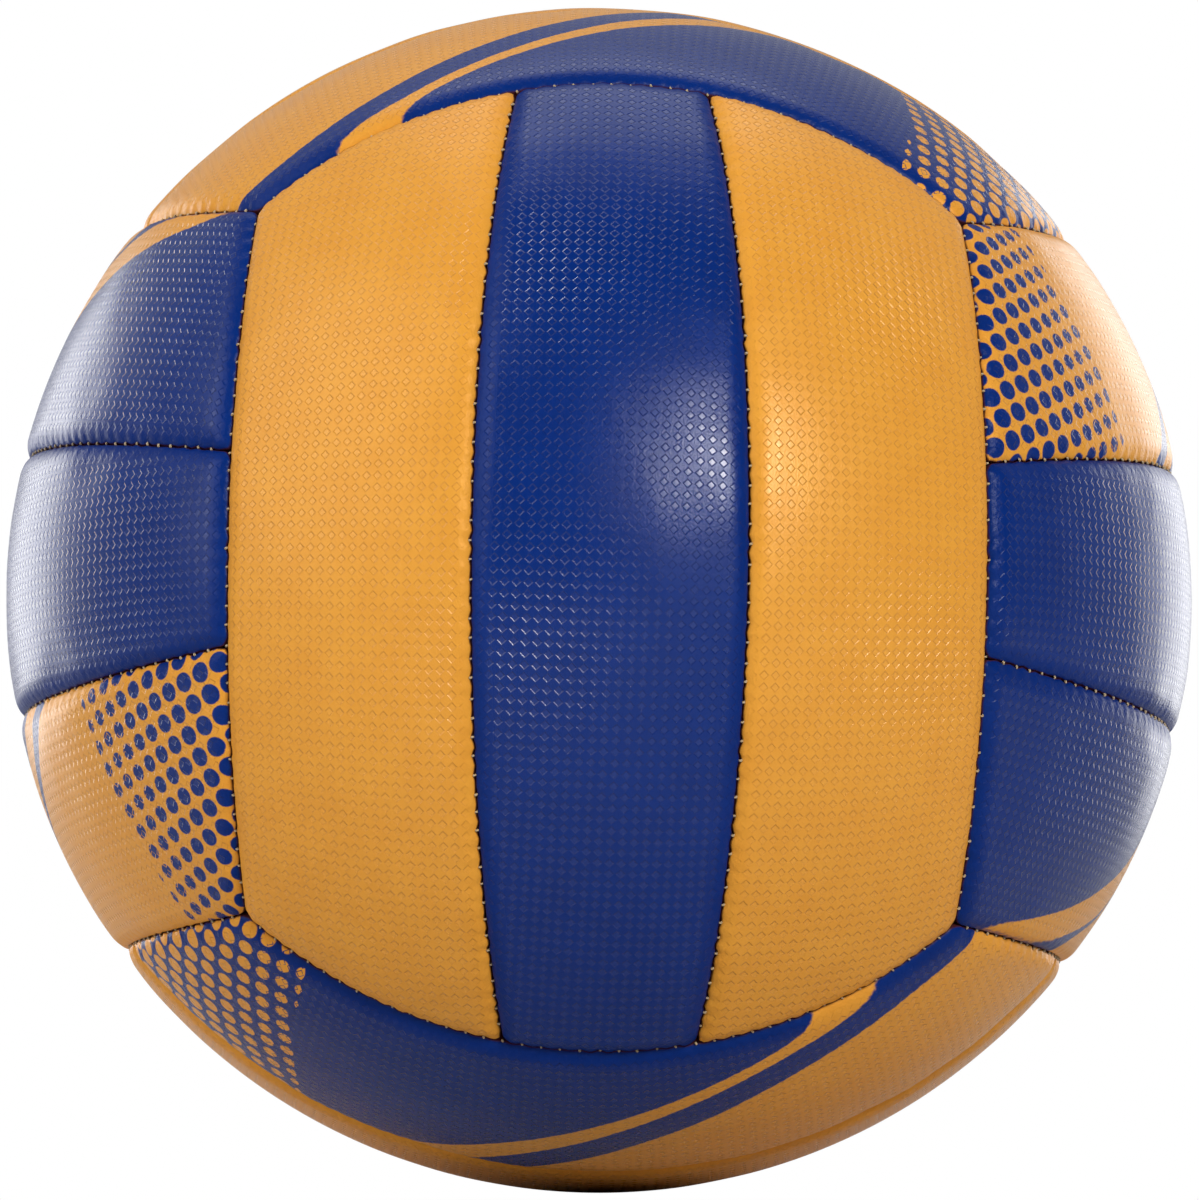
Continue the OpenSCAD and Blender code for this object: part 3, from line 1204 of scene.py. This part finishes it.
    def _cell(self, tree: Tree, emboss: Socket) -> tuple[Socket, Socket]:
        """Adds the lattice's cells.

        Args:
            tree: the node tree.
            emboss: place on the lattice.

        Returns:
            How far out of its cell's middle a place lies, and on which sides of it.
        """
        cells = add(tree, "VectorMath", {"operation": "SCALE"},
                    {0: emboss, "Scale": 1 / self.pitch}).outputs["Vector"]
        inside = add(tree, "VectorMath", {"operation": "FRACTION"}, {0: cells}).outputs["Vector"]
        centred = add(tree, "VectorMath", {"operation": "SUBTRACT"},
                      {0: inside, 1: CELL_MIDDLE}).outputs["Vector"]
        folded = add(tree, "VectorMath", {"operation": "ABSOLUTE"}, {0: centred}).outputs["Vector"]
        reach = add(tree, "VectorMath", {"operation": "DOT_PRODUCT"},
                    {0: folded, 1: (1, 1, 0)}).outputs["Value"]
        sides = add(tree, "VectorMath", {"operation": "SIGN"}, {0: centred}).outputs["Vector"]
        return reach, sides

    def _groove(self) -> tuple[float, float]:
        """Returns where the groove's middle lies in a cell, and its half width, in the cell's measure."""
        return 0.5 * self.diamond / self.pitch, 0.5 * self.groove * math.sqrt(2) / self.pitch

    def _lattice(self, tree: Tree, reach: Socket) -> Socket:
        """Adds how the roller finished each place: 0 on a wall, about 0.6 on the ground and 1 on a diamond.

        Args:
            tree: the node tree.
            reach: how far out of its cell's middle a place lies.

        Returns:
            The measure, which colour, gloss and roughness follow.
        """
        edge, half = self._groove()
        stops = [(0.0, 1.0), (edge - half, 0.96), (edge - 0.3 * half, 0.0), (edge + 0.3 * half, 0.0),
                 (edge + half, 0.58), (0.8, 0.62)]
        return ramp(tree, stops, reach)

    def _slope(self, tree: Tree, reach: Socket) -> Socket:
        """Adds how steeply the lattice falls outwards: level, sunk diamonds inside one steep wall up.

        Args:
            tree: the node tree.
            reach: how far out of its cell's middle a place lies.

        Returns:
            The slope, below 0 where the surface rises outwards.
        """
        edge, half = self._groove()
        stops = [(0.0, 0.5), (edge - half, 0.52), (edge - 0.7 * half, 0.62), (edge - 0.4 * half, 0.0),
                 (edge + 0.6 * half, 0.0), (edge + half, 0.5)]
        level = ramp(tree, stops, reach)
        return add(tree, "MapRange", {"clamp": False}, {
            "Value": level, "To Min": -self.steepness, "To Max": self.steepness}).outputs["Result"]

    def _tilt(self, tree: Tree, sides: Socket, slope: Socket) -> Socket:
        """Adds the vector by which the lattice's walls turn the surface's normal.

        Args:
            tree: the node tree.
            sides: on which sides of its cell's middle a place lies.
            slope: how steeply the lattice falls outwards.

        Returns:
            The vector.
        """
        axis = add(tree, "Attribute", {"attribute_name": "emboss_axis"}).outputs["Vector"]
        level = add(tree, "NewGeometry").outputs["Normal"]
        beside = add(tree, "VectorMath", {"operation": "CROSS_PRODUCT"},
                     {0: level, 1: axis}).outputs["Vector"]
        parts = add(tree, "SeparateXYZ", inputs={"Vector": sides}).outputs
        leans = []
        for direction, side in ((axis, parts["X"]), (beside, parts["Y"])):
            share = add(tree, "Math", {"operation": "MULTIPLY"}, {0: slope, 1: side}).outputs["Value"]
            lean = add(tree, "VectorMath", {"operation": "SCALE"}, {0: direction, "Scale": share})
            leans.append(lean.outputs["Vector"])
        return add(tree, "VectorMath", {"operation": "ADD"}, {0: leans[0], 1: leans[1]}).outputs["Vector"]

    def _ink(self, tree: Tree, cover: Cover, strip: Socket, lattice: Socket) -> Socket | float:
        """Adds the print.

        Args:
            tree: the node tree.
            cover: the cover's colour or print.
            strip: place on the strip.
            lattice: the lattice's height.

        Returns:
            How blue the surface is, from 0 for gold to 1 for blue.
        """
        if cover is Cover.GOLD:
            return 0.0
        if cover is Cover.BLUE:
            return 1.0
        wobble = add(tree, "TexNoise", inputs={
            "Vector": strip, "Scale": self.wobble_scale, "Detail": 2.0}).outputs["Fac"]
        shift = add(tree, "MapRange", inputs={
            "Value": wobble, "To Min": -self.wobble, "To Max": self.wobble}).outputs["Result"]
        past = add(tree, "Attribute", {"attribute_name": "print_mm"}).outputs["Vector"]
        parts = add(tree, "SeparateXYZ", inputs={"Vector": past}).outputs
        steps = []
        for axis in ("X", "Y", "Z"):
            moved = add(tree, "Math", {"operation": "ADD"}, {0: parts[axis], 1: shift}).outputs["Value"]
            steps.append(self._step(tree, moved, -self.stripe_soft, self.stripe_soft))
        stripe = add(tree, "Math", {"operation": "SUBTRACT"}, {0: steps[1], 1: steps[0]}).outputs["Value"]
        far_end = add(tree, "Math", {"operation": "SUBTRACT"}, {0: 1.0, 1: steps[2]}).outputs["Value"]
        printed = add(tree, "Math", {"operation": "ADD"}, {0: stripe, 1: far_end}).outputs["Value"]
        dots = self._dots(tree, strip, lattice)
        other = add(tree, "Math", {"operation": "ADD", "use_clamp": True},
                    {0: printed, 1: dots}).outputs["Value"]
        if cover is Cover.DOTS_ON_GOLD:
            return other
        return add(tree, "Math", {"operation": "SUBTRACT", "use_clamp": True},
                   {0: 1.0, 1: other}).outputs["Value"]

    def _dots(self, tree: Tree, strip: Socket, lattice: Socket) -> Socket:
        """Adds the dots of the print, which shrink and break up in the grooves away from the strip's end.

        Args:
            tree: the node tree.
            strip: place on the strip.
            lattice: the lattice's height.

        Returns:
            1 inside a dot and 0 outside.
        """
        emboss = add(tree, "Attribute", {"attribute_name": "emboss_mm"}).outputs["Vector"]
        through = add(tree, "SeparateXYZ", inputs={"Vector": emboss}).outputs["Z"]
        turned = add(tree, "VectorRotate", {"rotation_type": "Z_AXIS"},
                     {"Vector": strip, "Angle": math.radians(-self.dot_turn)}).outputs["Vector"]
        cells = add(tree, "VectorMath", {"operation": "SCALE"},
                    {0: turned, "Scale": 1 / self.dot_spacing}).outputs["Vector"]
        inside = add(tree, "VectorMath", {"operation": "FRACTION"}, {0: cells}).outputs["Vector"]
        centred = add(tree, "VectorMath", {"operation": "SUBTRACT"},
                      {0: inside, 1: CELL_MIDDLE}).outputs["Vector"]
        level = add(tree, "VectorMath", {"operation": "MULTIPLY"},
                    {0: centred, 1: (self.dot_spacing, self.dot_spacing, 0)}).outputs["Vector"]
        reach = add(tree, "VectorMath", {"operation": "LENGTH"}, {0: level}).outputs["Value"]
        size = add(tree, "MapRange", inputs={
            "Value": through, "To Min": self.dot_large, "To Max": self.dot_small}).outputs["Result"]
        ended = add(tree, "MapRange", inputs={
            "Value": through, "From Min": self.dots_end[0], "From Max": self.dots_end[1],
            "To Max": self.dots_gone}).outputs["Result"]
        grip = add(tree, "MapRange", inputs={
            "Value": through, "From Min": self.dots_break[0], "From Max": self.dots_break[1],
            "To Min": self.dots_bare[0], "To Max": self.dots_bare[1]}).outputs["Result"]
        bare = add(tree, "Math", {"operation": "SUBTRACT", "use_clamp": True},
                   {0: 0.6, 1: lattice}).outputs["Value"]
        missing = add(tree, "Math", {"operation": "MULTIPLY_ADD"},
                      {0: bare, 1: grip, 2: ended}).outputs["Value"]
        room = add(tree, "Math", {"operation": "SUBTRACT"}, {0: size, 1: reach}).outputs["Value"]
        left = add(tree, "Math", {"operation": "SUBTRACT"}, {0: room, 1: missing}).outputs["Value"]
        return self._step(tree, left, -self.dot_soft, self.dot_soft)

    def _bump(self, tree: Tree, strip: Socket, edge: Socket, lattice: Socket) -> Socket:
        """Adds the ground's grain and the wrinkles beside the seams.

        Args:
            tree: the node tree.
            strip: place on the strip.
            edge: length from the nearest seam's wall.
            lattice: the lattice's height.

        Returns:
            The normal.
        """
        fine = add(tree, "TexNoise", inputs={
            "Vector": strip, "Scale": 1 / self.grain, "Detail": 2.0}).outputs["Fac"]
        rough = ramp(tree, [(0.0, 1.0), (0.7, 1.0), (0.95, 0.2)], lattice)
        grainy = add(tree, "Math", {"operation": "MULTIPLY"}, {0: fine, 1: rough}).outputs["Value"]
        grain = add(tree, "Bump", inputs={
            "Strength": 1.0, "Distance": self.grain_height * MM, "Height": grainy}).outputs["Normal"]
        crease = add(tree, "TexNoise", inputs={
            "Vector": strip, "Scale": 1 / self.wrinkle, "Detail": 2.0}).outputs["Fac"]
        clear = self._step(tree, edge, *self.wrinkles_to)
        close = add(tree, "Math", {"operation": "SUBTRACT"}, {0: 1.0, 1: clear}).outputs["Value"]
        puckers = add(tree, "Math", {"operation": "MULTIPLY"}, {0: crease, 1: close}).outputs["Value"]
        return add(tree, "Bump", inputs={
            "Strength": 1.0, "Distance": self.wrinkle_height * MM, "Height": puckers,
            "Normal": grain}).outputs["Normal"]


@dataclass(frozen=True)
class SewingThread:
    """Bonded polyester thread, three plies twisted together: slanted strands with a dull gloss."""

    light: str = "#bfad8e"
    dark: str = "#a98d5f"
    ply: float = 0.28
    twist: float = 35.0
    roughness: float = 0.55

    def build(self) -> bpy.types.Material:
        """Builds the thread's material.

        Returns:
            The material.
        """
        material, tree, shader = new_material(
            "bonded_polyester_thread", {"Roughness": self.roughness, "IOR": 1.58, "Sheen Weight": 0.15})
        lay = add(tree, "Attribute", {"attribute_name": "thread_mm"}).outputs["Vector"]
        turned = add(tree, "VectorRotate", {"rotation_type": "Z_AXIS"},
                     {"Vector": lay, "Angle": math.radians(self.twist)}).outputs["Vector"]
        plies = add(tree, "TexWave", {"wave_type": "BANDS", "bands_direction": "X"},
                    {"Vector": turned, "Scale": WAVE_PERIOD / self.ply, "Distortion": 0.4}).outputs["Fac"]
        dress_surface(tree, shader, [(0.15, self.dark), (0.75, self.light)], plies, (0.7, 0.05))
        return material


@dataclass(frozen=True)
class FoamSheet:
    """Closed-cell EVA foam, skived to a sheet, which shows as fine pale cells."""

    light: str = "#ece7d8"
    dark: str = "#d3ccb8"
    cell: float = 0.5

    def build(self) -> bpy.types.Material:
        """Builds the foam's material.

        Returns:
            The material.
        """
        material, tree, shader = new_material("closed_cell_foam", {"Roughness": 0.8, "IOR": 1.48})
        place = add(tree, "TexCoord").outputs["Object"]
        cells = add(tree, "TexVoronoi", inputs={
            "Vector": place, "Scale": 1 / (self.cell * MM)}).outputs["Distance"]
        dress_surface(tree, shader, [(0.0, self.dark), (0.6, self.light)], cells, (0.5, 0.1))
        return material


@dataclass(frozen=True)
class LiningCloth:
    """Plain-woven polyester and cotton cloth, laminated in crossed layers: a fine matt weave."""

    light: str = "#f4f1e8"
    dark: str = "#d9d3c3"
    yarn: float = 0.45

    def build(self) -> bpy.types.Material:
        """Builds the cloth's material.

        Returns:
            The material.
        """
        material, tree, shader = new_material("woven_lining_cloth", {"Roughness": 0.9, "Sheen Weight": 0.2})
        place = add(tree, "TexCoord").outputs["Object"]
        weave = []
        for direction in ("X", "Z"):
            weave.append(add(tree, "TexWave", {"wave_type": "BANDS", "bands_direction": direction},
                             {"Vector": place, "Scale": WAVE_PERIOD / (self.yarn * MM)}).outputs["Fac"])
        yarns = add(tree, "Math", {"operation": "MAXIMUM"}, {0: weave[0], 1: weave[1]}).outputs["Value"]
        dress_surface(tree, shader, [(0.2, self.dark), (0.9, self.light)], yarns, (0.6, 0.08))
        return material


@dataclass(frozen=True)
class MouldedRubber:
    """Rubber moulded against fine-blasted steel, which leaves an even, dull skin with faint bloom."""

    name: str
    light: str
    dark: str
    roughness: float
    grit: float = 0.35
    bloom: float = 6.0
    uneven: float = 0.08

    def build(self) -> bpy.types.Material:
        """Builds the rubber's material.

        Returns:
            The material.
        """
        material, tree, shader = new_material(self.name, {"IOR": 1.52})
        place = add(tree, "TexCoord").outputs["Object"]
        bloom, skin = (
            add(tree, "TexNoise", inputs={
                "Vector": place, "Scale": 1 / (size * MM), "Detail": detail}).outputs["Fac"]
            for size, detail in ((self.bloom, 4.0), (self.grit, 2.0))
        )
        rough = add(tree, "MapRange", inputs={
            "Value": bloom, "To Min": self.roughness - self.uneven,
            "To Max": self.roughness + self.uneven}).outputs["Result"]
        tree.links.new(rough, shader.inputs["Roughness"])
        dress_surface(tree, shader, [(0.3, self.dark), (0.7, self.light)], bloom, (0.4, 0.03), relief=skin)
        return material


@dataclass(frozen=True)
class CarriedPieces:
    """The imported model's own pieces that stay: foam, lining, bladder and valve."""

    foam: FoamSheet = FoamSheet()
    cloth: LiningCloth = LiningCloth()
    butyl: MouldedRubber = MouldedRubber("moulded_butyl_rubber", "#2c2c2e", "#1b1b1d", 0.55)
    latex: MouldedRubber = MouldedRubber("soft_latex_plug", "#c2924f", "#a87a3c", 0.45)

    def dress(self, nodes: dict[str, bpy.types.Object]) -> None:
        """Gives each carried piece its material.

        Args:
            nodes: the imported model's objects by node name.
        """
        finishes = (self.foam, self.cloth, self.butyl, self.latex)
        foam, cloth, butyl, latex = (finish.build() for finish in finishes)
        for name, piece in nodes.items():
            if name.startswith("foam_"):
                give_material(piece, foam)
            elif name.startswith("lining_"):
                give_material(piece, cloth)
            elif name == "valve_plug":
                give_material(piece, latex)
            elif name in ("bladder", "valve_patch", "valve_housing"):
                give_material(piece, butyl)
        log.info("dressed the carried pieces")


@dataclass
class Studio:
    """Pale floor, soft lights and the photograph's camera, all placed from the ball's radius."""

    radius: float
    camera_turn: tuple[float, float, float] = (5.45, -0.83, -1.01)
    camera_reach: float = 12.0
    ball_px: float = 593.0
    centre_px: tuple[float, float] = (599.5, 600.0)
    sensor: float = 36.0
    floor_side: float = 2.6
    floor_colour: str = "#d6d6d6"
    room_light: float = 0.03
    backdrop_light: float = 0.45

    def build(self) -> None:
        """Sets up the camera, the floor, the lights and the world."""
        self._camera()
        self._floor()
        self._world()
        self._lamp("key_softbox", azimuth=23, elevation=20.5, distance=1.6, size=(0.37, 0.46), power=15.5)
        self._lamp("fill_softbox", azimuth=-60, elevation=25, distance=2.0, size=(1.6, 1.8), power=19.5)
        self._lamp("left_panel", azimuth=-140, elevation=0, distance=1.6, size=(0.8, 1.4), power=13)
        self._lamp("right_panel", azimuth=146, elevation=6, distance=1.6, size=(0.8, 1.2), power=8.5)
        self._lamp("top_softbox", azimuth=180, elevation=78, distance=1.8, size=(1.3, 1.0), power=6)

    def _camera(self) -> None:
        """Adds the camera at the photograph's viewing angle and framing."""
        turn = Vector([math.radians(part) for part in self.camera_turn])
        ball = Matrix.Rotation(turn.length, 4, turn)
        data = bpy.data.cameras.new("camera")
        focal_px = self.ball_px * math.sqrt(self.camera_reach**2 - 1)
        data.sensor_width = self.sensor
        data.lens = self.sensor * focal_px / PHOTO_SIDE_PX
        data.shift_x = (PHOTO_SIDE_PX / 2 - self.centre_px[0]) / PHOTO_SIDE_PX
        data.shift_y = (self.centre_px[1] - PHOTO_SIDE_PX / 2) / PHOTO_SIDE_PX
        data.clip_start = 0.01
        camera = bpy.data.objects.new("camera", data)
        place = Matrix.Translation((0, -self.camera_reach * self.radius * MM, 0))
        camera.matrix_world = ball @ place @ Matrix.Rotation(math.pi / 2, 4, "X")
        bpy.context.scene.collection.objects.link(camera)
        bpy.context.scene.camera = camera

    def _floor(self) -> None:
        """Adds a pale floor that keeps the ball's shadow and shows only from above."""
        half, drop = self.floor_side / 2, -self.radius * MM
        mesh = bpy.data.meshes.new("floor")
        corners = [(-half, -half, drop), (half, -half, drop), (half, half, drop), (-half, half, drop)]
        mesh.from_pydata(corners, [], [(0, 1, 2, 3)])
        floor = bpy.data.objects.new("floor", mesh)
        bpy.context.scene.collection.objects.link(floor)
        material = bpy.data.materials.new("pale_floor")
        material.use_nodes = True
        tree = material.node_tree
        tree.nodes.clear()
        paper = add(tree, "BsdfDiffuse", inputs={"Color": linear(self.floor_colour)}).outputs["BSDF"]
        through = add(tree, "BsdfTransparent").outputs["BSDF"]
        back = add(tree, "NewGeometry").outputs["Backfacing"]
        shown = add(tree, "MixShader", inputs={0: back, 1: paper, 2: through}).outputs["Shader"]
        add(tree, "OutputMaterial", inputs={"Surface": shown})
        give_material(floor, material)

    def _world(self) -> None:
        """Adds the white backdrop that curves round behind the ball, and the dim room before it."""
        world = bpy.data.worlds.new("studio")
        world.use_nodes = True
        tree = world.node_tree
        tree.nodes.clear()
        seen = add(tree, "LightPath").outputs["Is Camera Ray"]
        direction = add(tree, "TexCoord").outputs["Generated"]
        behind = add(tree, "SeparateXYZ", inputs={"Vector": direction}).outputs["Y"]
        around = add(tree, "MapRange", {"interpolation_type": "SMOOTHSTEP"}, {
            "Value": behind, "From Min": -0.3, "From Max": 0.35,
            "To Min": self.room_light, "To Max": self.backdrop_light}).outputs["Result"]
        strength = add(tree, "Math", {"operation": "MAXIMUM"}, {0: seen, 1: around}).outputs["Value"]
        shown = add(tree, "Background", inputs={"Color": WHITE, "Strength": strength}).outputs["Background"]
        add(tree, "OutputWorld", inputs={"Surface": shown})
        bpy.context.scene.world = world

    def _lamp(
        self, name: str, azimuth: float, elevation: float, distance: float, size: tuple[float, float],
        power: float,
    ) -> None:
        """Adds a rectangular softbox that faces the ball.

        Args:
            name: the lamp's name.
            azimuth: degrees to the right of the photograph's side.
            elevation: degrees above the horizon.
            distance: metres from the ball's middle.
            size: width and height in metres.
            power: watts.
        """
        data = bpy.data.lights.new(name, "AREA")
        data.shape = "RECTANGLE"
        data.size, data.size_y = size
        data.energy = power
        lamp = bpy.data.objects.new(name, data)
        a, e = math.radians(azimuth), math.radians(elevation)
        place = Vector((math.sin(a) * math.cos(e), -math.cos(a) * math.cos(e), math.sin(e))) * distance
        lamp.matrix_world = Matrix.Translation(place) @ place.to_track_quat("Z", "Y").to_matrix().to_4x4()
        bpy.context.scene.collection.objects.link(lamp)


PANELS = [
    ("front_left", Group.FRONT, -1, Cover.GOLD),
    ("front_middle", Group.FRONT, 0, Cover.BLUE),
    ("front_right", Group.FRONT, 1, Cover.GOLD),
    ("back_left", Group.BACK, 1, Cover.GOLD),
    ("back_middle", Group.BACK, 0, Cover.BLUE),
    ("back_right", Group.BACK, -1, Cover.GOLD),
    ("left_top", Group.LEFT, 1, Cover.DOTS_ON_GOLD),
    ("left_middle", Group.LEFT, 0, Cover.BLUE),
    ("left_bottom", Group.LEFT, -1, Cover.DOTS_ON_GOLD),
    ("right_top", Group.RIGHT, 1, Cover.DOTS_ON_GOLD),
    ("right_middle", Group.RIGHT, 0, Cover.BLUE),
    ("right_bottom", Group.RIGHT, -1, Cover.DOTS_ON_GOLD),
    ("top_front", Group.TOP, -1, Cover.DOTS_ON_BLUE),
    ("top_middle", Group.TOP, 0, Cover.GOLD),
    ("top_back", Group.TOP, 1, Cover.DOTS_ON_BLUE),
    ("bottom_front", Group.BOTTOM, 1, Cover.DOTS_ON_BLUE),
    ("bottom_middle", Group.BOTTOM, 0, Cover.GOLD),
    ("bottom_back", Group.BOTTOM, -1, Cover.DOTS_ON_BLUE),
]
VALVE_PANEL = "back_middle"
VALVE_HOLE = 4.65


def main() -> None:
    """Builds the ball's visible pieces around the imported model, then the studio."""
    logging.basicConfig(level=logging.INFO, format="%(message)s")
    radius = CAD_BOX[1].z / MM
    layout = Layout(radius)
    leather = EmbossedLeather()
    covers = {cover: leather.build(cover) for cover in Cover}
    for name, group, lane, cover in PANELS:
        hole = VALVE_HOLE if name == VALVE_PANEL else 0.0
        piece = PanelCover(name, group, lane, cover, layout, hole).build(covers[cover])
        log.info("%s: %d faces", piece.name, len(piece.data.polygons))
    thread = SewingThread().build()
    for group in Group:
        piece = GroupStitches(group, layout).build(thread)
        log.info("%s: %d faces", piece.name, len(piece.data.polygons))
    CarriedPieces().dress(frame["nodes"])
    Studio(radius).build()
    scene = bpy.context.scene
    scene.view_settings.view_transform = "Standard"


if __name__ == "__main__":
    main()
